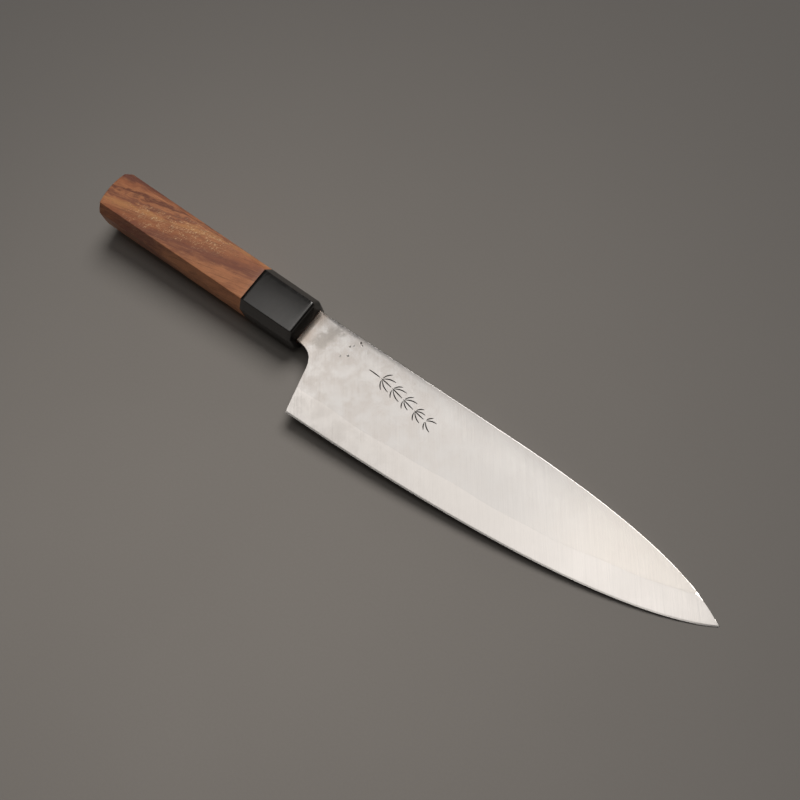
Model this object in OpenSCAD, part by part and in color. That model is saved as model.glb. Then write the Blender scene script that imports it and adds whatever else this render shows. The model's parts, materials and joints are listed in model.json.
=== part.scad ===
// Japanese chef knife (gyuto) with an octagonal wooden handle and a horn ferrule.
// It lies on its side, as on a table: the front lower edge of the ferrule and the
// point of the blade touch the surface. +X runs from the butt to the point, +Y from
// the cutting edge to the spine, +Z away from the surface.

/* [Blade] */
// Length of the blade from the ferrule to the point
blade_length = 215; // [195:5:240]
// Distance of the cutting edge below the handle axis at the heel
heel_depth = 37.4; // [33:0.2:40]
// Distance of the heel corner from the ferrule
heel_x = 17; // [15:0.5:20]
// Height of the spine above the handle axis at the ferrule
spine_y = 9.2; // [8:0.1:9.4]
// Rise of the spine from the ferrule to the middle of the blade
spine_rise = 0.7; // [0:0.1:1.5]
// Depth of the neck below the handle axis
neck_depth = 8.3; // [7.5:0.1:9]
// Thickness of the blade at the neck
neck_thickness = 3; // [2.4:0.1:3.4]
// Thickness that the spine tapers to at the point
point_thickness = 1.3; // [1:0.1:1.6]
// Thickness of the blade just behind the cutting edge
edge_thickness = 0.2; // [0.15:0.05:0.3]
// Height of the narrow sharpened bevel along the edge
bevel_height = 0.8; // [0.5:0.1:1.2]
// Height of the bare core steel above the edge, up to the cladding
core_reveal = 12; // [9:0.5:14]
// Height of the blunt end of the point
point_height = 0.3; // [0.2:0.1:0.6]

/* [Tang] */
// Reach of the tang behind the front of the ferrule
tang_length = 80; // [60:5:82]
// Height of the tang at its root
tang_root = 11; // [9:0.5:11.5]
// Height of the tang at its end
tang_end = 6.5; // [5:0.5:8]
// Depth of the neck's shoulder inside the ferrule
shoulder_depth = 7; // [5:0.5:7.5]

/* [Handle] */
// Length of the wooden handle body
wood_length = 93; // [90:1:110]
// Length of the ferrule
ferrule_length = 30.5; // [26:0.5:34]
// Height of the handle at the butt, along the blade's height
butt_height = 24.8; // [23:0.1:26]
// Height of the handle at the front of the ferrule
front_height = 23.3; // [22:0.1:24]
// Thickness of the handle at the butt
butt_thickness = 21; // [19:0.1:22]
// Thickness of the handle at the front of the ferrule
front_thickness = 19; // [17.5:0.1:19.6]
// Width of each corner facet, measured along the handle's height
facet_y = 3.2; // [2.6:0.1:4.5]
// Width of each corner facet, measured along the handle's thickness
facet_z = 5.2; // [3.5:0.1:6]
// Bevel round the front rim of the ferrule
rim_bevel = 1.3; // [0.8:0.1:1.6]
// Depth of the domed butt
butt_dome = 3; // [1.5:0.1:4]

/* [Joinery] */
// Radius of the dowel that joins the ferrule to the handle body
dowel_radius = 6.5; // [6.3:0.1:7]
// Depth of the dowel in the handle body
dowel_in_wood = 58; // [58:1:70]
// Thickness of the ferrule's front wall
ferrule_wall = 8; // [7.5:0.5:10]
// Gap between the tang and its slot, filled with adhesive
tang_gap = 0.4; // [0.3:0.1:0.5]
// Gap between the neck and the ferrule's slot, closed by the seal
seal_gap = 0.4; // [0.3:0.1:0.5]
// Depth of the seal's surface below the front of the ferrule
seal_recess = 0.3; // [0.1:0.1:0.6]

/* [Hidden] */

cut = 1;                        // overshoot of cutting tools past a face
round_steps = 64;               // $fn of the round bores and the dowel
handle_length = wood_length + ferrule_length;
neck_half = neck_thickness / 2;
edge_half = edge_thickness / 2;
apex_half = edge_half / 5;      // half thickness of the sharpened edge itself
clad_feather = 0.03;            // thickness that the cladding runs out to
point_y = -6.4;                 // the point lies a little below the handle axis
grind_power = 1.6;              // roundness of the convex grind
full_height = spine_y + heel_depth;
blend_start = 1;                // the neck's flat sides turn into the grind from here
blend_end = 12;                 // ... to here
choil_share = 0.6;              // share of the path under the neck that is curved
choil_steps = 9;                // sections along the choil's curve
heel_steps = 4;                 // sections along each half of the straight heel
blade_steps = 60;               // sections between the heel and the point
blade_crowding = 1.35;          // above 1, sections lie closer together at the point
grind_rows = 8;                 // rows of points up each ground face
row_crowding = 1.3;             // above 1, rows lie closer together at the edge
clad_limit = 0.92;              // the cladding ends where the core takes up this share
core_least = 0.06;              // limits of the core's ground face, as shares of height
core_most = 0.97;
dome_shares = [0.3, 0.55, 0.8, 1];  // sizes of the dome's rings, as shares of the octagon

// The spine is straight to spine_bend, then falls to the point. In the curves below,
// shares of the blade's length and offsets in millimetres place the control points.
spine_bend = 0.51 * blade_length;
spine_curve = [
    [spine_bend, spine_y + spine_rise],
    [0.877 * blade_length, spine_y + spine_rise],
    [0.957 * blade_length, point_y + 4.9],
    [blade_length, point_y + point_height / 2]
];
// The edge is almost flat behind the heel and sweeps up to the point.
edge_curve = [
    [heel_x, -heel_depth],
    [0.481 * blade_length, -heel_depth + 2.5],
    [0.843 * blade_length, -heel_depth + 10.9],
    [blade_length, point_y - point_height / 2]
];
// The choil leaves the neck level and turns down into the straight heel.
choil_end = [heel_x - 4.6, -neck_depth - 10.2];
choil_curve = [
    [0, -neck_depth],
    [heel_x - 9, -neck_depth],
    [heel_x - 5.8, -neck_depth - 3.2],
    choil_end
];

function blend(a, b, t) = a + (b - a) * t;
function smooth(t) = let (u = min(max(t, 0), 1)) u * u * (3 - 2 * u);
function curve_point(c, t) =
    pow(1 - t, 3) * c[0] + 3 * pow(1 - t, 2) * t * c[1]
    + 3 * (1 - t) * t * t * c[2] + pow(t, 3) * c[3];
// Parameter at which a curve reaches x, found by halving.
function curve_at(c, x, low = 0, high = 1, rounds = 26) =
    let (mid = (low + high) / 2)
    rounds == 0 ? mid
    : curve_point(c, mid)[0] < x ? curve_at(c, x, mid, high, rounds - 1)
    : curve_at(c, x, low, mid, rounds - 1);
function spine_at(x) =
    x < spine_bend ? spine_y + spine_rise * x / spine_bend
    : curve_point(spine_curve, curve_at(spine_curve, x))[1];
function edge_at(x) =
    x < heel_x ? -heel_depth : curve_point(edge_curve, curve_at(edge_curve, x))[1];

// Half thickness of the spine, of the core and of the whole blade.
function spine_half(x) = blend(neck_half, point_thickness / 2, max(x, 0) / blade_length);
function grind(s) = 1 - pow(1 - min(max(s, 0), 1), grind_power);
function ground_half(x, rise) =
    rise < bevel_height ? blend(apex_half, edge_half, rise / bevel_height)
    : blend(edge_half, spine_half(x), grind((rise - bevel_height) / full_height));
function core_half(x) = ground_half(x, core_reveal);
function blade_half(x, y) =
    blend(neck_half, ground_half(x, y - edge_at(x)),
          smooth((x - blend_start) / (blend_end - blend_start)));

// Path under the neck: down the choil and along the heel to its corner.
function choil_point(t) =
    t < choil_share ? curve_point(choil_curve, t / choil_share)
    : blend(choil_end, [heel_x, -heel_depth], (t - choil_share) / (1 - choil_share));
// Height at which the cladding stops, never above the spine.
function reveal_y(x) = edge_at(x) + core_reveal;

// The cladding's lower corner is where the straight heel meets the reveal.
corner_share = blend(choil_share, 1,
    (choil_end[1] + heel_depth - core_reveal) / (choil_end[1] + heel_depth));
heel_shares = concat(
    [for (i = [0:choil_steps - 1]) choil_share * i / choil_steps],
    [for (i = [0:heel_steps - 1]) blend(choil_share, corner_share, i / heel_steps)],
    [for (i = [0:heel_steps - 1]) blend(corner_share, 1, i / heel_steps)]
);

// One section of the blade is a pair of points, [bottom, top].
choil_sections = [for (t = heel_shares)
    let (x = heel_x * t) [choil_point(t), [x, spine_at(x)]]];
function blade_x(t) = blend(heel_x, blade_length, 1 - pow(1 - t, blade_crowding));
blade_sections = [for (i = [0:blade_steps])
    let (x = blade_x(i / blade_steps)) [[x, edge_at(x)], [x, spine_at(x)]]];
sections = concat(choil_sections, blade_sections);

// Where a section crosses the end of the cladding, as a share of its height.
function reveal_share(s) =
    let (x = s[0][0])
    (reveal_y(x) - s[0][1]) / (s[1][1] - s[0][1]);
clad_sections = [for (s = sections) if (reveal_share(s) < clad_limit)
    [blend(s[0], s[1], max(reveal_share(s), 0)), s[1]]];

// Skin over a row of rings, closed at both ends. Each ring has the same even number of
// points, down one side and back up the other.
module skin(rings) {
    n = len(rings[0]);
    last = len(rings) - 1;
    sides = [for (i = [0:last - 1]) for (j = [0:n - 1])
        let (k = (j + 1) % n, a = i * n, b = a + n)
        each [[a + j, b + j, b + k], [a + j, b + k, a + k]]];
    ends = [for (j = [0:n / 2 - 2])
        each [[j, j + 1, n - 2 - j], [j, n - 2 - j, n - 1 - j]]];
    far = [for (f = ends) [last * n + f[2], last * n + f[1], last * n + f[0]]];
    polyhedron([for (r = rings) for (p = r) p], concat(sides, ends, far), convexity = 6);
}

// The handle tapers from the butt to the front of the ferrule.
function half_height(x) = blend(front_height, butt_height, -x / handle_length) / 2;
function half_thickness(x) =
    blend(front_thickness, butt_thickness, -x / handle_length) / 2;

// Octagonal ring of the handle at x, drawn in by an inset.
function handle_ring(x, inset) =
    let (h = half_height(x) - inset, w = half_thickness(x) - inset)
    [[x, h, w - facet_z], [x, h - facet_y, w], [x, facet_y - h, w], [x, -h, w - facet_z],
     [x, -h, facet_z - w], [x, facet_y - h, -w], [x, h - facet_y, -w], [x, h, facet_z - w]];

// Ring of the domed butt: the octagon at a smaller size, further back near the axis.
function dome_ring(share) =
    let (first = dome_shares[0],
         x = -handle_length + butt_dome * (pow(share, 2) - pow(first, 2)) / (1 - pow(first, 2)))
    [for (p = handle_ring(x, 0)) [x, share * p[1], share * p[2]]];

// Resting attitude: the point and the ferrule's front lower edge are both down.
rim_half = half_thickness(-rim_bevel);
tip_half = ground_half(blade_length, point_height);
nose_down = atan((rim_half - tip_half) / (blade_length + rim_bevel));
low_x = -handle_length * cos(nose_down)
        - dome_shares[0] * half_thickness(-handle_length) * sin(nose_down);
high_x = blade_length * cos(nose_down) + tip_half * sin(nose_down);
high_y = half_height(butt_dome - handle_length);
rest_shift = [
    -(low_x + high_x) / 2,
    (heel_depth - high_y) / 2,
    blade_length * sin(nose_down) + tip_half * cos(nose_down)
];

// Outline of the neck's root and the tang, behind the front of the ferrule.
tang_outline = [
    [0, -neck_depth], [0, spine_y], [-shoulder_depth, spine_y],
    [-shoulder_depth, tang_root / 2], [-tang_length, tang_end / 2],
    [-tang_length, -tang_end / 2], [-shoulder_depth, -tang_root / 2],
    [-shoulder_depth, -neck_depth]
];

module rest() {
    translate(rest_shift) rotate([0, nose_down, 0]) children();
}

module along_x(from, to, radius) {
    translate([from, 0, 0]) rotate([0, 90, 0])
        cylinder(h = to - from, r = radius, $fn = round_steps);
}

// Box from one x to another, with its heights in y and its thickness in z.
module slot(from, to, low_y, high_y, thickness) {
    translate([from, low_y, -thickness / 2]) cube([to - from, high_y - low_y, thickness]);
}

module handle_body() {
    color("saddlebrown") rest() difference() {
        skin(concat([for (share = dome_shares) dome_ring(share)],
                    [handle_ring(-ferrule_length, 0)]));
        along_x(-ferrule_length - dowel_in_wood, -ferrule_length + cut, dowel_radius);
    }
}

module horn_ferrule() {
    color([0.06, 0.06, 0.06]) rest() difference() {
        skin([handle_ring(-ferrule_length, 0),
              handle_ring(-rim_bevel, 0),
              handle_ring(0, rim_bevel)]);
        along_x(-ferrule_length - cut, -ferrule_wall, dowel_radius);
        slot(-ferrule_wall - cut, cut, -neck_depth - seal_gap, spine_y + seal_gap,
             neck_thickness + 2 * seal_gap);
    }
}

module tang_slot(front) {
    slot(-tang_length - tang_gap, front, -tang_root / 2 - tang_gap,
         tang_root / 2 + tang_gap, neck_thickness + 2 * tang_gap);
}

module handle_dowel() {
    color("burlywood") rest() difference() {
        along_x(-ferrule_length - dowel_in_wood, -ferrule_wall, dowel_radius);
        tang_slot(cut - ferrule_wall);
    }
}

module tang_prism(thickness) {
    translate([0, 0, -thickness / 2]) linear_extrude(thickness) polygon(tang_outline);
}

module tang_adhesive() {
    color("khaki") rest() difference() {
        tang_slot(-ferrule_wall);
        tang_prism(neck_thickness);
    }
}

module mouth_seal() {
    color("sienna") rest() difference() {
        slot(-shoulder_depth, -seal_recess, -neck_depth - seal_gap, spine_y + seal_gap,
             neck_thickness + 2 * seal_gap);
        tang_prism(neck_thickness);
    }
}

// Ring round the core at one section: down the right side and up the left.
function core_ring(s) =
    let (share = min(max(reveal_share(s), core_least), core_most),
         rows = [for (i = [0:grind_rows]) share * pow(i / grind_rows, row_crowding)],
         points = [for (r = concat(rows, [1])) blend(s[0], s[1], r)],
         half = [for (p = points) min(core_half(p[0]), blade_half(p[0], p[1]))],
         last = len(points) - 1)
    concat([for (i = [last:-1:0]) [points[i][0], points[i][1], half[i]]],
           [for (i = [0:last]) [points[i][0], points[i][1], -half[i]]]);

module core_steel() {
    color("silver") rest() {
        skin([for (s = sections) core_ring(s)]);
        tang_prism(2 * core_half(0));
    }
}

// Ring round the right-hand cladding: down its outer face and up its inner face.
function clad_ring(s) =
    let (points = [for (i = [0:grind_rows]) blend(s[0], s[1], i / grind_rows)],
         inner = [for (p = points) core_half(p[0])],
         outer = [for (i = [0:grind_rows])
             max(blade_half(points[i][0], points[i][1]), inner[i] + clad_feather)])
    concat([for (i = [grind_rows:-1:0]) [points[i][0], points[i][1], outer[i]]],
           [for (i = [0:grind_rows]) [points[i][0], points[i][1], inner[i]]]);

module cladding() {
    skin([for (s = clad_sections) clad_ring(s)]);
    translate([0, 0, core_half(0)])
        linear_extrude(neck_half - core_half(0)) polygon(tang_outline);
}

module right_cladding() {
    color("gainsboro") rest() cladding();
}

module left_cladding() {
    color("lightgray") rest() mirror([0, 0, 1]) cladding();
}

handle_body();
horn_ferrule();
handle_dowel();
tang_adhesive();
mouth_seal();
core_steel();
right_cladding();
left_cladding();
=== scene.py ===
import json
import math
import random
from functools import lru_cache

import bmesh
import bpy
from mathutils import Matrix, Vector


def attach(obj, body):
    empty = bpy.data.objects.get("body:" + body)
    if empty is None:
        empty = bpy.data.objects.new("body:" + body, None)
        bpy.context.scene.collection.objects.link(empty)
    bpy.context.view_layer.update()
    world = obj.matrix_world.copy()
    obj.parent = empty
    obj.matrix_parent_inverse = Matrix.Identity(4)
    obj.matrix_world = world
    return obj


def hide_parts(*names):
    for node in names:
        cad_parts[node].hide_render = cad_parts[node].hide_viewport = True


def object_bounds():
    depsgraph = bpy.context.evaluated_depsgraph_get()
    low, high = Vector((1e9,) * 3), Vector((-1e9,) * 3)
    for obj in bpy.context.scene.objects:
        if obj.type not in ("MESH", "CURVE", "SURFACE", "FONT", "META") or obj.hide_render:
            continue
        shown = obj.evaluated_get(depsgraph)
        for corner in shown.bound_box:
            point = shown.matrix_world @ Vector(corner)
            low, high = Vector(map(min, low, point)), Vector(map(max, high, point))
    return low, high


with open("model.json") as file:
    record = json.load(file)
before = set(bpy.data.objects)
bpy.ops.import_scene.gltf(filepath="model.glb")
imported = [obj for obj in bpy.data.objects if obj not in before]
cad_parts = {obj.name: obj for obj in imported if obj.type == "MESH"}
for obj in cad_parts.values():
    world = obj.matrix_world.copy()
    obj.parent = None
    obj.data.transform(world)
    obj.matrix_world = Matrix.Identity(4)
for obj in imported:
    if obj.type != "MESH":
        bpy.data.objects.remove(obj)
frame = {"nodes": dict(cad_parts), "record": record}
cad_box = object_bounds()

# ---------------------------------------------------------------- the knife's own frame
# Millimetres: x = 0 at the front of the ferrule, +x to the point, +y to the spine, and
# z = 0 in the blade's mid-plane. The sheath's mount says where that frame lies at rest.
MM = 0.001
SHEATH = next(m for m in frame["record"]["mounts"] if m["name"] == "blade_in_sheath")
FORWARD = Vector(SHEATH["axis"])
SPINEWARD = Vector((0, 1, 0))
ROTATE = Matrix((FORWARD, SPINEWARD, FORWARD.cross(SPINEWARD))).transposed()
PLACE = Matrix.Translation(SHEATH["pos_m"]) @ ROTATE.to_4x4() @ Matrix.Scale(MM, 4)

# Sizes in mm, the same as in the solids.
BLADE, HEEL_DEPTH, HEEL_X = 215.0, 37.4, 17.0
SPINE_Y, SPINE_RISE, NECK_DEPTH = 9.2, 0.7, 8.3
NECK_HALF, POINT_SPINE_HALF = 1.5, 0.65
EDGE_HALF, APEX_HALF, BEVEL = 0.1, 0.02, 0.8
REVEAL, POINT_Y, POINT_HEIGHT = 12.0, -6.4, 0.3
TANG, TANG_ROOT, TANG_END, SHOULDER = 80.0, 11.0, 6.5, 7.0
WOOD, FERRULE, WALL = 93.0, 30.5, 8.0
HANDLE = WOOD + FERRULE
BUTT_HEIGHT, FRONT_HEIGHT = 24.8, 23.3
BUTT_THICK, FRONT_THICK = 21.0, 19.0
FACET_Y, FACET_Z = 3.2, 5.2
BORE, BORE_END = 6.5, -FERRULE - 58.0
SLOT_GAP = 0.4


def mix(a, b, t):
    return a + (b - a) * t


def smooth(t):
    t = min(max(t, 0.0), 1.0)
    return t * t * (3 - 2 * t)


def bezier(points, t):
    weights = ((1 - t) ** 3, 3 * (1 - t) ** 2 * t, 3 * (1 - t) * t * t, t ** 3)
    return tuple(sum(w * p[i] for w, p in zip(weights, points)) for i in (0, 1))


def bezier_at(points, x):
    """Height of a curve that runs forward in x, found by halving."""
    low, high = 0.0, 1.0
    for _ in range(30):
        mid = (low + high) / 2
        low, high = (mid, high) if bezier(points, mid)[0] < x else (low, mid)
    return bezier(points, (low + high) / 2)[1]


# ---------------------------------------------------------------- mesh building
def new_piece(name, mesh_maker, materials, crease=32.0, replaces=()):
    """An object from a function that fills a bmesh in knife millimetres."""
    bm = bmesh.new()
    mesh_maker(bm)
    bmesh.ops.recalc_face_normals(bm, faces=bm.faces)
    for f in bm.faces:
        f.smooth = True
    for e in bm.edges:
        e.smooth = e.calc_face_angle(0.0) < math.radians(crease)
    bm.transform(PLACE)
    mesh = bpy.data.meshes.new(name)
    bm.to_mesh(mesh)
    bm.free()
    for m in materials:
        mesh.materials.append(m)
    piece = bpy.data.objects.new(name, mesh)
    bpy.context.scene.collection.objects.link(piece)
    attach(piece, "root")
    if replaces:
        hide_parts(*replaces)
    return piece


def loft(bm, rings, start=None, end=None, loop=False):
    """Quads between rings of equal counts, closed by a pole or by a strip at each end."""
    rows = [[bm.verts.new(p) for p in ring] for ring in rings]
    n = len(rows[0])
    pairs = list(zip(rows, rows[1:])) + ([(rows[-1], rows[0])] if loop else [])
    for a, b in pairs:
        for j in range(n):
            k = (j + 1) % n
            bm.faces.new((a[j], b[j], b[k], a[k]))
    if loop:
        return
    for row, pole in ((rows[0], start), (rows[-1], end)):
        if pole is None:
            for j in range(n // 2 - 1):
                bm.faces.new((row[j], row[j + 1], row[n - 2 - j], row[n - 1 - j]))
        else:
            tip = bm.verts.new(pole)
            for j in range(n):
                bm.faces.new((row[j], row[(j + 1) % n], tip))


# ---------------------------------------------------------------- blade
BEND = 0.51 * BLADE
SPINE = ((BEND, SPINE_Y + SPINE_RISE), (0.877 * BLADE, SPINE_Y + SPINE_RISE),
         (0.957 * BLADE, POINT_Y + 4.9), (BLADE, POINT_Y + POINT_HEIGHT / 2))
EDGE = ((HEEL_X, -HEEL_DEPTH), (0.481 * BLADE, 2.5 - HEEL_DEPTH),
        (0.843 * BLADE, 10.9 - HEEL_DEPTH), (BLADE, POINT_Y - POINT_HEIGHT / 2))
CHOIL_END = (HEEL_X - 4.6, -NECK_DEPTH - 10.2)
CHOIL = ((0.0, -NECK_DEPTH), (HEEL_X - 9, -NECK_DEPTH),
         (HEEL_X - 5.8, -NECK_DEPTH - 3.2), CHOIL_END)
FULL_HEIGHT = SPINE_Y + HEEL_DEPTH


@lru_cache(maxsize=None)
def spine_y(x):
    if x < BEND:
        return SPINE_Y + SPINE_RISE * max(x, 0) / BEND
    return bezier_at(SPINE, x)


@lru_cache(maxsize=None)
def edge_y(x):
    return -HEEL_DEPTH if x < HEEL_X else bezier_at(EDGE, x)


def spine_half(x):
    return mix(NECK_HALF, POINT_SPINE_HALF, max(x, 0) / BLADE)


def ground_half(x, rise):
    if rise < BEVEL:
        return mix(APEX_HALF, EDGE_HALF, max(rise, 0) / BEVEL)
    share = min((rise - BEVEL) / FULL_HEIGHT, 1.0)
    return mix(EDGE_HALF, spine_half(x), 1 - (1 - share) ** 1.6)


def core_half(x):
    return ground_half(x, REVEAL)


def blade_half(x, y):
    return mix(NECK_HALF, ground_half(x, y - edge_y(x)), smooth((x - 1) / 11))


def lamination_y(x):
    """Where the cladding ends: a line that wanders a little, as forged steel does."""
    wander = 0.35 * math.sin(x / 13.0 + 0.6) + 0.22 * math.sin(x / 5.3 + 2.0)
    return edge_y(x) + REVEAL + wander * smooth((x - HEEL_X) / 12)


def eased_off(half, depth, radius):
    """Half thickness near a softened corner, at a depth in from it."""
    if depth >= radius:
        return half
    return half - radius + math.sqrt(max(radius ** 2 - (radius - depth) ** 2, 0.0))


def blade_sections():
    """Pairs of points, [bottom, top], from the end of the tang to the point."""
    tang = [((-TANG, -TANG_END / 2), (-TANG, TANG_END / 2)),
            ((-SHOULDER, -TANG_ROOT / 2), (-SHOULDER, TANG_ROOT / 2)),
            ((-SHOULDER, -NECK_DEPTH), (-SHOULDER, SPINE_Y))]
    neck = [((x, -NECK_DEPTH), (x, SPINE_Y)) for x in (-3.0, -1.0)]
    heel = []
    split = 0.6 + 0.4 * (CHOIL_END[1] + HEEL_DEPTH - REVEAL) / (CHOIL_END[1] + HEEL_DEPTH)
    shares = ([0.6 * i / 28 for i in range(28)]
              + [mix(0.6, split, i / 6) for i in range(6)]
              + [mix(split, 1, i / 8) for i in range(8)])
    for t in shares:
        if t < 0.6:
            low = bezier(CHOIL, t / 0.6)
        else:
            low = tuple(mix(a, b, (t - 0.6) / 0.4)
                        for a, b in zip(CHOIL_END, (HEEL_X, -HEEL_DEPTH)))
        heel.append((low, (HEEL_X * t, spine_y(HEEL_X * t))))
    blade = []
    for i in range(161):
        x = mix(HEEL_X, BLADE, 1 - (1 - i / 160) ** 1.3)
        blade.append(((x, edge_y(x)), (x, spine_y(x))))
    return tang + neck + heel + blade


def between(section, share):
    (x0, y0), (x1, y1) = section
    return mix(x0, x1, share), mix(y0, y1, share)


def reveal_share(section):
    (x, low), (_, high) = section
    return (lamination_y(x) - low) / (high - low)


def corner_radius(x):
    return mix(0.28, 0.12, max(x, 0) / BLADE)


def side_half(section, share):
    """Half thickness of the whole blade, with softened spine and choil."""
    x, y = between(section, share)
    height = section[1][1] - section[0][1]
    half = blade_half(x, y)
    half = eased_off(half, (1 - share) * height, corner_radius(x))
    if section[0][0] < HEEL_X - 2.5 and x > -SHOULDER:
        half = eased_off(half, share * height, 0.25)
    return half


SECTIONS = blade_sections()


def spaced(low, height):
    """Shares from low to 1, close together near both ends."""
    ease = min(1.0, (1 - low) * height / 2) / height
    first = [low + d * ease for d in (0.0, 0.04, 0.12, 0.25, 0.5)]
    last = [1 - d * ease for d in (0.3, 0.2, 0.12, 0.06, 0.02, 0.0)]
    return first + [mix(first[-1], last[0], i / 18) for i in range(1, 18)] + last


def make_cladding(side):
    """One layer of cladding: outer ground face, and a flat face against the core."""
    def make(bm):
        rings = []
        for s in SECTIONS:
            share = max(reveal_share(s), 0.0)
            if share > 0.93:
                continue
            height = s[1][1] - s[0][1]
            shares = spaced(share, height)
            points = [between(s, v) for v in shares]
            inner = [core_half(p[0]) for p in points]
            outer = [max(side_half(s, v), i + 0.02) for v, i in zip(shares, inner)]
            ring = [(p[0], p[1], side * z) for p, z in zip(points, outer)]
            ring += [(p[0], p[1], side * z) for p, z in zip(points[::-1], inner[::-1])]
            rings.append(ring)
        loft(bm, rings)
        if side > 0:
            engraved(bm, make_gouges)
    return make


SPRIG = ((36.0, -0.6), (50.0, -0.2), (62.0, -5.4), (76.0, -5.6))   # the engraved stem
GROOVE_WIDTH, GROOVE_DEPTH = 0.60, 0.18


def sprig_strokes():
    """Strokes of a plain leafy sprig, each a list of points on the blade's side."""
    rng = random.Random(11)
    knots = (0.0, 0.17, 0.34, 0.52, 0.70, 0.86)
    strokes = []
    for i, (a, b) in enumerate(zip(knots, knots[1:])):
        strokes.append([bezier(SPRIG, mix(a, b - 0.02, k / 6)) for k in range(7)])
        root, ahead = bezier(SPRIG, b), bezier(SPRIG, b + 0.02)
        bearing = math.atan2(ahead[1] - root[1], ahead[0] - root[0])
        for side in (1, -1):
            for spread, reach in ((0.42, 6.2), (0.95, 4.6)):
                turn = bearing + side * (spread + rng.uniform(-0.08, 0.08))
                reach *= rng.uniform(0.85, 1.1) * (1 - 0.07 * i)
                start = (root[0] + 0.75 * math.cos(turn), root[1] + 0.75 * math.sin(turn))
                leaf = []
                for k in range(9):
                    far, bow = reach * k / 8, 0.09 * reach * math.sin(math.pi * k / 8)
                    leaf.append((start[0] + far * math.cos(turn) - side * bow * math.sin(turn),
                                 start[1] + far * math.sin(turn) + side * bow * math.cos(turn)))
                strokes.append(leaf)
    return strokes


def make_gouges(bm):
    """Tapering wedges to be cut out of the right-hand side."""
    for line in sprig_strokes():
        rings, last = [], len(line) - 1
        for k, (x, y) in enumerate(line):
            (x0, y0), (x1, y1) = line[max(k - 1, 0)], line[min(k + 1, last)]
            along = Vector((x1 - x0, y1 - y0)).normalized()
            half = GROOVE_WIDTH / 2 * (0.35 + 0.65 * math.sin(math.pi * (k + 0.6) / (last + 1.2)))
            top = blade_half(x, y)
            rings.append([(x - s * along[1] * half * wide, y + s * along[0] * half * wide, z)
                          for s, wide, z in ((1, 1.6, top + 0.3), (-1, 1.6, top + 0.3),
                                             (-1, 0.5, top - GROOVE_DEPTH),
                                             (1, 0.5, top - GROOVE_DEPTH))])
        loft(bm, rings)


def engraved(bm, cutter_maker):
    """Cut a second mesh out of a bmesh; the walls of the cuts get material 1."""
    parts = []
    cutter = bmesh.new()
    cutter_maker(cutter)
    for source in (bm, cutter):
        bmesh.ops.recalc_face_normals(source, faces=source.faces)
        mesh = bpy.data.meshes.new("cutting")
        source.to_mesh(mesh)
        parts.append(bpy.data.objects.new("cutting", mesh))
        bpy.context.scene.collection.objects.link(parts[-1])
    cutter.free()
    boolean = parts[0].modifiers.new("cut", "BOOLEAN")
    boolean.object, boolean.solver, boolean.use_self = parts[1], "EXACT", True
    result = parts[0].evaluated_get(bpy.context.evaluated_depsgraph_get()).to_mesh()
    bm.clear()
    bm.from_mesh(result)
    for piece in parts:
        bpy.data.objects.remove(piece)
    for f in bm.faces:
        x, y, z = f.calc_center_median()
        if SPRIG[0][0] - 9 < x < SPRIG[-1][0] + 9 and core_half(x) + 0.02 < z:
            f.material_index = int(z < blade_half(x, y) - 0.025 and abs(y) < 16)


def make_core(bm):
    """The core: ground faces from the edge up to the cladding, flat beyond it."""
    rings = []
    for s in SECTIONS:
        height = s[1][1] - s[0][1]
        line = min(max(reveal_share(s), 0.06), 0.96)
        rises = [d / height for d in (0.0, 0.2, 0.45, 0.75, 0.85, 1.2, 1.8)]
        rises = [min(r, line * (0.1 + 0.05 * i)) for i, r in enumerate(rises)]
        body = [mix(rises[-1], line, i / 10) for i in range(1, 11)]
        shares = rises + body + [mix(line, 1, 0.5), 1.0]
        points = [between(s, v) for v in shares]
        half = [min(core_half(p[0]), side_half(s, v)) for p, v in zip(points, shares)]
        rings.append([(p[0], p[1], z) for p, z in zip(points, half)]
                     + [(p[0], p[1], -z) for p, z in zip(points[::-1], half[::-1])])
    loft(bm, rings)


# ---------------------------------------------------------------- handle
def half_height(x):
    return mix(FRONT_HEIGHT, BUTT_HEIGHT, -x / HANDLE) / 2


def half_thick(x):
    return mix(FRONT_THICK, BUTT_THICK, -x / HANDLE) / 2


CROWN_RADIUS = 300.0   # the facets are very slightly convex, from finishing by hand
SIDE_STEPS, ARC_STEPS = 10, 4


def polar(angle):
    return Vector((math.cos(angle), math.sin(angle)))


def octagon(x, inset, corner, grow=1.0):
    """Rounded octagon of the handle at x: crowned facets between small corner arcs."""
    h, w = half_height(x), half_thick(x)
    slant = Vector((FACET_Z, FACET_Y)).normalized()
    reach = slant.dot(Vector((h, w - FACET_Z))) - inset
    h, w = h - inset, w - inset
    corners = [Vector((h, (reach - slant[0] * h) / slant[1])),
               Vector(((reach - slant[1] * w) / slant[0], w))]
    corners += [Vector((-c[0], c[1])) for c in corners[::-1]]
    corners += [-c for c in corners]
    arcs = []
    for i, c in enumerate(corners):
        into, out = c - corners[i - 1], corners[(i + 1) % 8] - c
        bearing, turn = math.atan2(-into[0], into[1]), into.angle(out)
        centre = c - polar(bearing + turn / 2) * corner / math.cos(turn / 2)
        arcs.append([centre + polar(bearing + turn * k / ARC_STEPS) * corner
                     for k in range(ARC_STEPS + 1)])
    points = []
    for arc, following in zip(arcs, arcs[1:] + arcs[:1]):
        start, stop = arc[-1], following[0]
        side = stop - start
        outward = Vector((side[1], -side[0])).normalized()
        points += arc
        for k in range(1, SIDE_STEPS):
            u = 2 * k / SIDE_STEPS - 1
            bulge = (1 - u * u) * side.length_squared / (8 * CROWN_RADIUS)
            points.append(start + side * k / SIDE_STEPS + outward * bulge)
    return [(x, p[0] * grow, p[1] * grow) for p in points]


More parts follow.
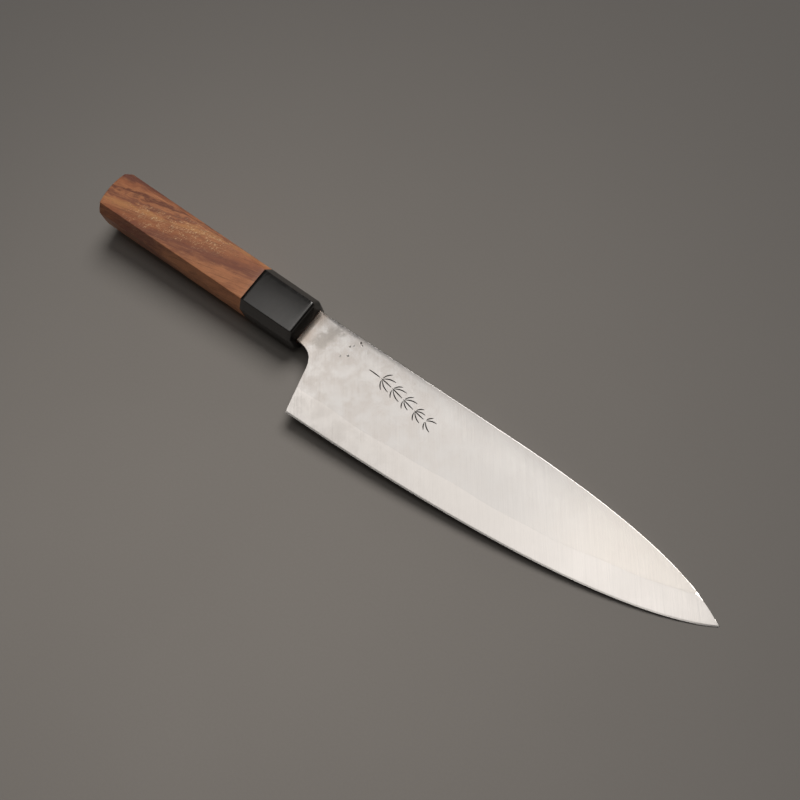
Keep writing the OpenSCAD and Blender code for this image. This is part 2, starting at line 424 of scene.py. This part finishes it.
def circle_like(ring, x, radius):
    """A circle with one point on the same ray as each point of a ring."""
    angles = [math.atan2(p[2], p[1]) for p in ring]
    return [(x, radius * math.cos(a), radius * math.sin(a)) for a in angles]


def slot_like(ring, x, low, high, half):
    """The slot's rectangle, met along the rays of a ring, with its corners kept."""
    middle = (low + high) / 2
    tall = (high - low) / 2
    angles = [math.atan2(p[2], p[1]) for p in ring]
    points = []
    for a in angles:
        c, s = math.cos(a), math.sin(a)
        k = min(tall / max(abs(c), 1e-9), half / max(abs(s), 1e-9))
        points.append([x, middle + k * c, k * s])
    for cy, cz in ((tall, half), (-tall, half), (-tall, -half), (tall, -half)):
        best = min(points, key=lambda p: (p[1] - middle - cy) ** 2 + (p[2] - cz) ** 2)
        best[1], best[2] = middle + cy, cz
    return [tuple(p) for p in points]


def domed(ring, reach, depth):
    """A ring on the butt's dome, which falls away towards the corners."""
    return [(x + depth * (y * y + z * z) / reach ** 2, y, z) for x, y, z in ring]


def make_handle_body(bm):
    """The wooden body: domed butt with a rounded rim, bored for the dowel."""
    edge, rim, dome = 0.45, 0.8, 3.0
    last = octagon(-HANDLE, 0.0, edge)
    reach = max(math.hypot(y, z) for _, y, z in last)
    rings = [domed(octagon(-HANDLE, rim, edge, grow=s), reach, dome)
             for s in (0.12, 0.3, 0.45, 0.6, 0.75, 0.88, 0.96)]
    for k in range(9):
        a = math.radians(90 - k * 11.25)
        ring = domed(octagon(-HANDLE, rim * (1 - math.cos(a)), edge), reach, dome)
        rings.append([(x + rim * (1 - math.sin(a)), y, z) for x, y, z in ring])
    begin = -HANDLE + dome + rim + 0.3
    steps = 46
    for k in range(steps):
        rings.append(octagon(mix(begin, -FERRULE - 0.15, k / steps), 0.0, edge))
    for back, inset in ((0.15, 0.0), (0.04, 0.04), (0.0, 0.1)):
        rings.append(octagon(-FERRULE - back, inset, edge))
    rings.append(circle_like(rings[-1], -FERRULE, BORE))
    rings.append(circle_like(rings[-1], BORE_END, BORE))
    loft(bm, rings, start=(-HANDLE, 0, 0), end=(BORE_END, 0, 0))


def make_ferrule(bm):
    """The horn ferrule: crisp facets, a rounded front rim and a slot for the neck."""
    edge, rim, rim_length, dome = 0.3, 1.5, 2.2, 0.5
    rings = [octagon(ahead - FERRULE, inset, edge)
             for ahead, inset in ((0.0, 0.1), (0.04, 0.04), (0.15, 0.0))]
    steps = 20
    for k in range(1, steps + 1):
        rings.append(octagon(mix(0.15 - FERRULE, -rim_length - dome, k / steps), 0.0, edge))
    for k in range(1, 10):
        a = math.radians(k * 10)
        rings.append(octagon(rim_length * (math.sin(a) - 1) - dome,
                             rim * (1 - math.cos(a)), edge))
    outer = octagon(-dome, rim, edge)
    slot = slot_like(outer, 0.0, -NECK_DEPTH - SLOT_GAP, SPINE_Y + SLOT_GAP,
                     NECK_HALF + SLOT_GAP)
    for t in (0.3, 0.6, 0.85):
        rings.append([(-dome * (1 - t) ** 2, mix(a[1], b[1], t), mix(a[2], b[2], t))
                      for a, b in zip(outer, slot)])
    rings += [slot, [(-WALL, p[1], p[2]) for p in slot],
              circle_like(outer, -WALL, BORE), circle_like(outer, -FERRULE, BORE)]
    loft(bm, rings, loop=True)


def make_seal(bm):
    """The bead of filler between the neck and the ferrule's slot."""
    rng = random.Random(4)
    low, high = -NECK_DEPTH - SLOT_GAP / 2, SPINE_Y + SLOT_GAP / 2
    half = NECK_HALF + SLOT_GAP / 2
    tall, wide = 40, 8
    path = [(mix(low, high, i / tall), half, 0, 1) for i in range(tall)]
    path += [(high, mix(half, -half, i / wide), 1, 0) for i in range(wide)]
    path += [(mix(high, low, i / tall), -half, 0, -1) for i in range(tall)]
    path += [(low, mix(-half, half, i / wide), -1, 0) for i in range(wide)]
    rings = []
    for y, z, ny, nz in path:
        front = rng.uniform(-0.25, 0.12)
        r = SLOT_GAP / 2
        profile = ((-SHOULDER, -r), (-SHOULDER, r), (front - 0.15, r),
                   (front, 0.35 * r), (front - 0.03, -0.5 * r), (front - 0.2, -r))
        rings.append([(x, y + ny * d, z + nz * d) for x, d in profile])
    loft(bm, rings, loop=True)


# ---------------------------------------------------------------- materials
class Graph:
    """A material's nodes. Lengths inside are millimetres in the knife's own frame."""

    def __init__(self, name):
        self.material = bpy.data.materials.new(name)
        self.material.use_nodes = True
        self.nodes = self.material.node_tree.nodes
        self.links = self.material.node_tree.links
        self.shader = self.nodes["Principled BSDF"]

    def put(self, socket, value):
        if isinstance(value, bpy.types.NodeSocket):
            self.links.new(value, socket)
        else:
            socket.default_value = value

    def add(self, kind, inputs=(), **settings):
        node = self.nodes.new(kind)
        for key, value in settings.items():
            setattr(node, key, value)
        for key, value in dict(inputs).items():
            self.put(node.inputs[key], value)
        return node

    def knife(self):
        """Object coordinates turned into the knife's frame, in mm."""
        inverse = ROTATE.inverted()
        shift = -(inverse @ Vector(SHEATH["pos_m"])) / MM
        return self.add("ShaderNodeMapping", {
            0: self.add("ShaderNodeTexCoord").outputs["Object"], "Location": shift,
            "Rotation": inverse.to_euler(), "Scale": (1 / MM,) * 3}).outputs[0]

    def stretched(self, coords, angle, scale):
        """Coordinates turned by an angle in the blade's plane, then scaled."""
        turned = self.add("ShaderNodeMapping", {
            0: coords, "Rotation": (0, 0, -math.radians(angle))}).outputs[0]
        return self.add("ShaderNodeMapping", {0: turned, "Scale": scale}).outputs[0]

    def noise(self, coords, scale=1.0, detail=4.0, rough=0.5, distort=0.0):
        return self.add("ShaderNodeTexNoise", {
            "Vector": coords, "Scale": scale, "Detail": detail, "Roughness": rough,
            "Distortion": distort}).outputs[0]

    def math(self, op, a, b=0.0, c=0.0, clamp=False):
        return self.add("ShaderNodeMath", {0: a, 1: b, 2: c},
                        operation=op, use_clamp=clamp).outputs[0]

    def fit(self, value, low, high, to_low=0.0, to_high=1.0):
        return self.add("ShaderNodeMapRange", {
            0: value, 1: low, 2: high, 3: to_low, 4: to_high},
            interpolation_type="SMOOTHSTEP").outputs[0]

    def blend(self, factor, a, b, mode="MIX"):
        node = self.add("ShaderNodeMix", data_type="RGBA", blend_type=mode)
        for socket, value in zip((node.inputs[0], node.inputs[6], node.inputs[7]),
                                 (factor, a, b)):
            self.put(socket, value)
        return node.outputs[2]

    def ramp(self, factor, stops):
        node = self.add("ShaderNodeValToRGB", {0: factor})
        band = node.color_ramp
        while len(band.elements) < len(stops):
            band.elements.new(0.5)
        for element, (place, colour) in zip(band.elements, stops):
            element.position = place
            element.color = colour
        return node.outputs[0]

    def bump(self, height, strength, distance_mm, below=None):
        inputs = {"Height": height, "Strength": strength, "Distance": distance_mm * MM}
        if below is not None:
            inputs["Normal"] = below
        return self.add("ShaderNodeBump", inputs).outputs[0]

    def warped(self, coords, x, y):
        """The place on the blade's side, pushed about a little so that dots turn ragged."""
        push = self.fit(self.noise(coords, 2.4, 2.0, 0.6), 0.2, 0.8, -0.35, 0.35)
        return self.add("ShaderNodeCombineXYZ", {
            0: self.math("ADD", x, push), 1: self.math("SUBTRACT", y, push)}).outputs[0]

    def axis(self, coords, index):
        return self.add("ShaderNodeSeparateXYZ", {0: coords}).outputs[index]

    def finish(self, **values):
        for key, value in values.items():
            self.put(self.shader.inputs[key.replace("_", " ")], value)
        return self.material


def rgb(r, g, b):
    """A colour as seen on a screen, 0 to 255, as the linear value that shaders take."""
    def linear(v):
        v /= 255
        return v / 12.92 if v <= 0.04045 else ((v + 0.055) / 1.055) ** 2.4
    return (linear(r), linear(g), linear(b), 1.0)


BRUSH_ANGLE = -52.0    # direction of the grinding marks in the blade's plane
# Small corrosion pits in the blade's sides: x, y and radius.
PITS = ((25.1, 7.2, 0.65), (26.4, 6.5, 0.45), (22.2, 2.9, 0.50), (23.3, 4.2, 0.38),
        (24.1, -1.0, 0.60), (21.2, -3.0, 0.40), (30.5, 5.1, 0.30), (58.0, 2.5, 0.30))


def steel(name, tone, roughness, stains_and_painted_light):
    """Satin ground steel, with slanting grinding marks, faint stains and painted shade by the
    neck, painted shade mid-blade and painted light near the point.
    """
    g = Graph(name)
    at = g.knife()
    x, y = g.axis(at, 0), g.axis(at, 1)
    fine = g.noise(g.stretched(at, BRUSH_ANGLE, (0.05, 6.0, 1.0)), 1.0, 3.0, 0.6)
    broad = g.noise(g.stretched(at, BRUSH_ANGLE, (0.02, 0.7, 0.2)), 1.0, 3.0, 0.5)
    cloud = g.noise(at, 0.06, 3.0, 0.5, 0.3)
    mottle = g.noise(at, 0.24, 5.0, 0.6, 0.3)
    soft = g.noise(at, 0.13, 5.0, 0.62, 0.25)
    ragged = g.fit(mottle, 0.25, 0.75, -1.7, 1.7)
    across = g.math("ADD", g.math("MULTIPLY_ADD", y, -0.25, x), ragged)
    patch = g.math("MULTIPLY", g.fit(across, 7.0, 9.5), g.fit(across, 15.5, 12.5))
    along = g.math("ADD", y, ragged)
    patch = g.math("MULTIPLY", patch, g.math("MULTIPLY", g.fit(along, -6.5, -3.5),
                                             g.fit(along, 8.5, 5.5)))
    tarnish = g.math("MULTIPLY", g.fit(soft, 0.34, 0.66), g.fit(x, 115.0, 15.0, 0.15, 1.0))
    # Heat tint by the neck, with painted shade beside the ferrule.
    heat_tint_and_shade = g.math("MULTIPLY", g.fit(x, 8.0, 0.0), g.fit(mottle, 0.25, 0.6, 0.5, 1.0))
    pits, side = 0.0, g.warped(at, x, y)
    for px, py, size in PITS:
        spot = g.add("ShaderNodeVectorMath", {0: side, 1: (px, py, 0.0)},
                     operation="DISTANCE").outputs["Value"]
        pits = g.math("MAXIMUM", pits, g.fit(spot, size, size * 0.6))
    colour = g.blend(g.fit(broad, 0.3, 0.7), rgb(*[c - 3 for c in tone]), rgb(*tone))
    colour = g.blend(g.fit(cloud, 0.40, 0.62, 0.0, 0.5), colour, rgb(*[c - 9 for c in tone]))
    # Painted shade and light: the tone is painted a little darker mid-blade, and warmer and
    # lighter near the point.
    painted_shade = g.math("MULTIPLY", g.fit(x, 15.0, 40.0), g.fit(x, 165.0, 110.0))
    painted_shade = g.math("MULTIPLY", painted_shade, g.fit(y, 6.0, -12.0))
    # Painted shade: darker steel tone mid-blade, away from the heel and the point.
    colour = g.blend(painted_shade, colour, rgb(*[c - 15 for c in tone]))
    # Painted light: a warmer, lighter steel tone towards the point, on the cladding only.
    colour = g.blend(g.math("MULTIPLY", g.fit(x, 120.0, 175.0), stains_and_painted_light), colour,
                     rgb(tone[0] + 4, tone[1] + 2, tone[2] - 1))
    colour = g.blend(g.math("MULTIPLY", tarnish, 0.15 + 0.25 * stains_and_painted_light), colour, rgb(194, 184, 176))
    colour = g.blend(g.math("MULTIPLY", patch, 0.7 * stains_and_painted_light), colour, rgb(168, 163, 157))
    # Brown heat tint and painted shade by the ferrule.
    colour = g.blend(g.math("MULTIPLY", heat_tint_and_shade, 0.6 * stains_and_painted_light), colour, rgb(190, 168, 148))
    colour = g.blend(g.math("MULTIPLY", pits, stains_and_painted_light), colour, rgb(52, 45, 40))
    stained = g.math("MAXIMUM", patch, tarnish)
    rough = g.math("ADD", g.fit(fine, 0.25, 0.75, roughness - 0.02, roughness + 0.03),
                   g.math("MULTIPLY", stained, 0.05))
    normal = g.bump(broad, 0.02, 0.015)
    normal = g.bump(fine, 0.02, 0.006, normal)
    normal = g.bump(g.math("SUBTRACT", 1.0, pits), 0.4 * stains_and_painted_light, 0.05, normal)
    return g.finish(Base_Color=colour, Metallic=1.0, Roughness=rough, Normal=normal)


GRAIN_ANGLE = 12.5     # the figure of the wood runs a little across the handle
FIGURE_WIDTH = 34.0    # mm of figure, measured across the grain
HONEY, TAN, RUSSET = rgb(205, 145, 95), rgb(195, 130, 90), rgb(175, 110, 75)
BROWN, UMBER = rgb(145, 90, 70), rgb(120, 70, 55)


def wood(name):
    """Oiled hardwood: slanting bands of figure, dark streaks, pores, and bright flecks of ray
    figure with painted sheen.
    """
    g = Graph(name)
    at = g.knife()
    x, z = g.axis(at, 0), g.axis(at, 2)
    waver = g.noise(g.stretched(at, GRAIN_ANGLE, (0.035, 0.16, 0.16)), 1.0, 3.0, 0.5)
    v = g.axis(g.stretched(at, GRAIN_ANGLE, (1, 1, 1)), 1)
    v = g.math("ADD", v, g.math("MULTIPLY_ADD", z, -0.35, 3.5))
    v = g.math("ADD", v, g.fit(waver, 0.2, 0.8, -1.3, 1.3))
    ragged = g.noise(g.stretched(at, GRAIN_ANGLE, (0.16, 0.5, 0.4)), 1.0, 5.0, 0.6, 0.4)
    v = g.math("ADD", v, g.fit(ragged, 0.25, 0.75, -1.5, 1.5))
    bands = g.ramp(g.math("DIVIDE", v, FIGURE_WIDTH, clamp=True), [
        (0.0, TAN), (0.2, TAN), (0.3, BROWN), (0.35, BROWN), (0.45, RUSSET), (0.55, TAN),
        (0.6, HONEY), (0.65, TAN), (0.7, BROWN), (0.75, TAN), (0.8, UMBER), (0.85, TAN),
        (0.9, RUSSET), (1.0, UMBER)])
    streak = g.noise(g.stretched(at, GRAIN_ANGLE, (0.03, 0.9, 0.7)), 1.0, 5.0, 0.62)
    colour = g.blend(g.fit(streak, 0.52, 0.72, 0.0, 0.45), bands, rgb(110, 66, 46))
    pale = g.noise(g.stretched(at, GRAIN_ANGLE, (0.05, 1.5, 1.2)), 1.0, 3.0, 0.6)
    colour = g.blend(g.fit(pale, 0.54, 0.74, 0.0, 0.35), colour, rgb(216, 160, 112))
    pores = g.noise(g.stretched(at, GRAIN_ANGLE, (0.35, 5.5, 5.5)), 1.0, 2.0, 0.5)
    pore = g.fit(pores, 0.60, 0.70)
    colour = g.blend(g.math("MULTIPLY", pore, 0.45), colour, rgb(74, 44, 32))
    fleck = g.noise(g.stretched(at, 58.0, (0.7, 2.3, 2.0)), 1.0, 4.0, 0.7, 1.2)
    clump = g.noise(g.stretched(at, GRAIN_ANGLE, (0.2, 0.5, 0.4)), 1.0, 2.0, 0.5)
    # Bright flecks: pale ray figure with a painted sheen, kept to one band of the handle.
    flecks_and_sheen = g.math("MULTIPLY", g.fit(v, 10.0, 18.0, 0.1, 1.0), g.fit(v, 25.5, 22.5))
    flecks_and_sheen = g.math("MULTIPLY", flecks_and_sheen, g.fit(fleck, 0.55, 0.62))
    flecks_and_sheen = g.math("MULTIPLY", flecks_and_sheen, g.fit(clump, 0.38, 0.56))
    flecks_and_sheen = g.math("MULTIPLY", flecks_and_sheen, g.math("MULTIPLY", g.fit(x, -112.0, -98.0),
                                           g.fit(x, -42.0, -62.0)))
    colour = g.blend(flecks_and_sheen, colour, rgb(255, 226, 178))
    cast = g.noise(g.stretched(at, GRAIN_ANGLE, (0.09, 0.3, 0.3)), 1.0, 4.0, 0.6)
    colour = g.blend(g.fit(cast, 0.45, 0.70, 0.0, 0.35), colour, rgb(122, 70, 54))
    rough = g.math("ADD", g.fit(streak, 0.3, 0.7, 0.42, 0.52),
                   g.math("MULTIPLY", pore, 0.15))
    normal = g.bump(g.math("SUBTRACT", 1.0, pore), 0.25, 0.05)
    normal = g.bump(streak, 0.10, 0.08, normal)
    return g.finish(Base_Color=colour, Roughness=rough, Normal=normal)


def horn(name):
    """Polished dark horn, with faint fibres and fine polishing marks."""
    g = Graph(name)
    at = g.knife()
    fibres = g.noise(g.stretched(at, 3.0, (0.05, 0.9, 0.9)), 1.0, 4.0, 0.6)
    marks = g.noise(g.stretched(at, 78.0, (0.08, 6.0, 6.0)), 1.0, 3.0, 0.6)
    colour = g.blend(g.fit(fibres, 0.45, 0.72), rgb(8, 6, 5), rgb(20, 15, 13))
    rough = g.fit(marks, 0.3, 0.75, 0.16, 0.26)
    normal = g.bump(marks, 0.06, 0.01)
    return g.finish(Base_Color=colour, Roughness=rough, Normal=normal, IOR=1.8)


def filler(name):
    """Reddish-brown filler with pale specks."""
    g = Graph(name)
    at = g.knife()
    speck = g.noise(at, 2.2, 3.0, 0.6)
    colour = g.blend(g.fit(speck, 0.42, 0.6), rgb(72, 40, 30), rgb(150, 104, 84))
    return g.finish(Base_Color=colour, Roughness=0.55, Normal=g.bump(speck, 0.4, 0.1))


def groove(name):
    """The dark bottom of an engraved line."""
    g = Graph(name)
    grit = g.noise(g.knife(), 3.0, 3.0, 0.6)
    colour = g.blend(g.fit(grit, 0.35, 0.65), rgb(20, 19, 19), rgb(52, 49, 47))
    return g.finish(Base_Color=colour, Roughness=0.7, Specular_IOR_Level=0.2)


def plain_wood(name):
    g = Graph(name)
    grain = g.noise(g.stretched(g.knife(), 0.0, (0.05, 1.2, 1.2)), 1.0, 4.0, 0.6)
    colour = g.blend(g.fit(grain, 0.3, 0.7), rgb(196, 160, 112), rgb(168, 128, 84))
    return g.finish(Base_Color=colour, Roughness=0.6, Normal=g.bump(grain, 0.2, 0.1))


def resin(name):
    g = Graph(name)
    cloud = g.noise(g.knife(), 0.6, 3.0, 0.5)
    colour = g.blend(cloud, rgb(190, 176, 130), rgb(160, 142, 98))
    return g.finish(Base_Color=colour, Roughness=0.35)


def table_top(name):
    """Plain warm grey ground with faint mottling, and a painted pool of light beside the blade,
    graded darker away from it.
    """
    g = Graph(name)
    at = g.add("ShaderNodeTexCoord").outputs["Object"]
    grain = g.noise(at, 900.0, 2.0, 0.5)
    cloud = g.noise(at, 6.0, 3.0, 0.5)
    # Centre of the painted pool of light on the ground.
    middle = PLACE @ Vector((25.0, -95.0, 0.0))
    distance_from_light_pool = g.add("ShaderNodeVectorMath", {0: at, 1: (middle.x, middle.y, 0.0)},
                   operation="DISTANCE").outputs["Value"]
    colour = g.blend(g.fit(cloud, 0.3, 0.7), rgb(151, 147, 143), rgb(154, 150, 146))
    colour = g.blend(g.fit(grain, 0.3, 0.7, 0.0, 0.06), colour, rgb(128, 122, 116))
    # Painted pool of light: the ground is painted darker away from its centre.
    colour = g.blend(g.fit(distance_from_light_pool, 0.03, 0.40), colour, rgb(121, 119, 117))
    return g.finish(Base_Color=colour, Roughness=0.85, Specular_IOR_Level=0.2)


# ---------------------------------------------------------------- the object
CLAD = steel("cladding_satin", (213, 211, 210), 0.18, 1.0)
CORE = steel("core_polish", (219, 216, 214), 0.18, 0.0)
GROOVE = groove("engraved_line")
HORN = horn("dark_horn")
WOOD_SKIN = wood("figured_wood")

new_piece("blade_right_cladding", make_cladding(1), [CLAD, GROOVE],
          replaces=["right_cladding"])
new_piece("blade_left_cladding", make_cladding(-1), [CLAD],
          replaces=["left_cladding"])
new_piece("blade_core", make_core, [CORE],
          replaces=["core_steel"])
new_piece("handle_wood", make_handle_body, [WOOD_SKIN],
          replaces=["handle_body"])
new_piece("ferrule_horn", make_ferrule, [HORN],
          replaces=["horn_ferrule"])
new_piece("neck_seal", make_seal, [filler("seal_filler")],
          replaces=["mouth_seal"])
for node, material in (("handle_dowel", plain_wood("dowel_wood")),
                       ("tang_adhesive", resin("tang_resin"))):
    frame["nodes"][node].data.materials.clear()
    frame["nodes"][node].data.materials.append(material)


# ---------------------------------------------------------------- floor, light, camera
def make_floor():
    bm = bmesh.new()
    bmesh.ops.create_grid(bm, x_segments=8, y_segments=8, size=12.0)
    mesh = bpy.data.meshes.new("floor")
    bm.to_mesh(mesh)
    bm.free()
    mesh.materials.append(table_top("table_grey"))
    floor = bpy.data.objects.new("floor", mesh)
    bpy.context.scene.collection.objects.link(floor)
    floor.location.z = cad_box[0].z - 0.0001


WARM = (1.0, 0.96, 0.915)
STRIP_OVER, STRIP_HEIGHT = (-0.11, 0.105), 1.10     # m
STRIP_LENGTH, STRIP_WIDTH, STRIP_WATTS = 0.92, 0.33, 1.22
KEY_FROM, KEY_STRENGTH, KEY_SPREAD = (0.02, 0.76, 1.08), 1.72, math.radians(32)
HORIZON, ZENITH = rgb(128, 123, 117), rgb(38, 37, 36)


def add_lamp(name, kind, place, target, power):
    data = bpy.data.lights.new(name, kind)
    data.energy, data.color = power, WARM
    lamp = bpy.data.objects.new(name, data)
    bpy.context.scene.collection.objects.link(lamp)
    lamp.location = place
    lamp.rotation_euler = (Vector(target) - Vector(place)).to_track_quat("-Z", "Y").to_euler()
    return data


def make_light():
    """A strip right above the blade, a broad soft key from the far side, a dim room."""
    strip = add_lamp("strip", "AREA", (*STRIP_OVER, STRIP_HEIGHT), (*STRIP_OVER, 0.0),
                     STRIP_WATTS)
    strip.shape, strip.size, strip.size_y = "RECTANGLE", STRIP_LENGTH, STRIP_WIDTH
    key = add_lamp("key", "SUN", KEY_FROM, (0.0, 0.0, 0.0), KEY_STRENGTH)
    key.angle = KEY_SPREAD
    world = bpy.data.worlds.new("studio")
    world.use_nodes = True
    nodes, links = world.node_tree.nodes, world.node_tree.links
    split = nodes.new("ShaderNodeSeparateXYZ")
    height = nodes.new("ShaderNodeMapRange")
    height.interpolation_type = "SMOOTHSTEP"
    height.inputs[1].default_value, height.inputs[2].default_value = 0.1, 0.55
    sky = nodes.new("ShaderNodeMix")
    sky.data_type = "RGBA"
    sky.inputs[6].default_value, sky.inputs[7].default_value = HORIZON, ZENITH
    links.new(nodes.new("ShaderNodeTexCoord").outputs["Generated"], split.inputs[0])
    links.new(split.outputs[2], height.inputs[0])
    links.new(height.outputs[0], sky.inputs[0])
    links.new(sky.outputs[2], nodes["Background"].inputs["Color"])
    bpy.context.scene.world = world


SENSOR, LENS = 36.0, 46.8                # mm
EYE = Vector((191.757, -89.332, 422.565))    # mm, in the knife's own frame
# The camera's right, up and backward directions, in the knife's own frame.
VIEW_AXES = Matrix(((0.78609, 0.60397, -0.13144), (-0.53954, 0.77423, 0.33085),
                    (0.30158, -0.18916, 0.93449)))


def make_camera():
    """Over the blade, looking down at it, at the photograph's angle."""
    data = bpy.data.cameras.new("camera")
    data.sensor_width = SENSOR
    data.lens = LENS
    data.clip_start = 0.01
    turn = (ROTATE @ VIEW_AXES.transposed()).to_4x4()
    camera = bpy.data.objects.new("camera", data)
    bpy.context.scene.collection.objects.link(camera)
    camera.matrix_world = Matrix.Translation(PLACE @ EYE) @ turn
    bpy.context.scene.camera = camera


make_floor()
make_light()
make_camera()
bpy.context.scene.view_settings.view_transform = "Standard"
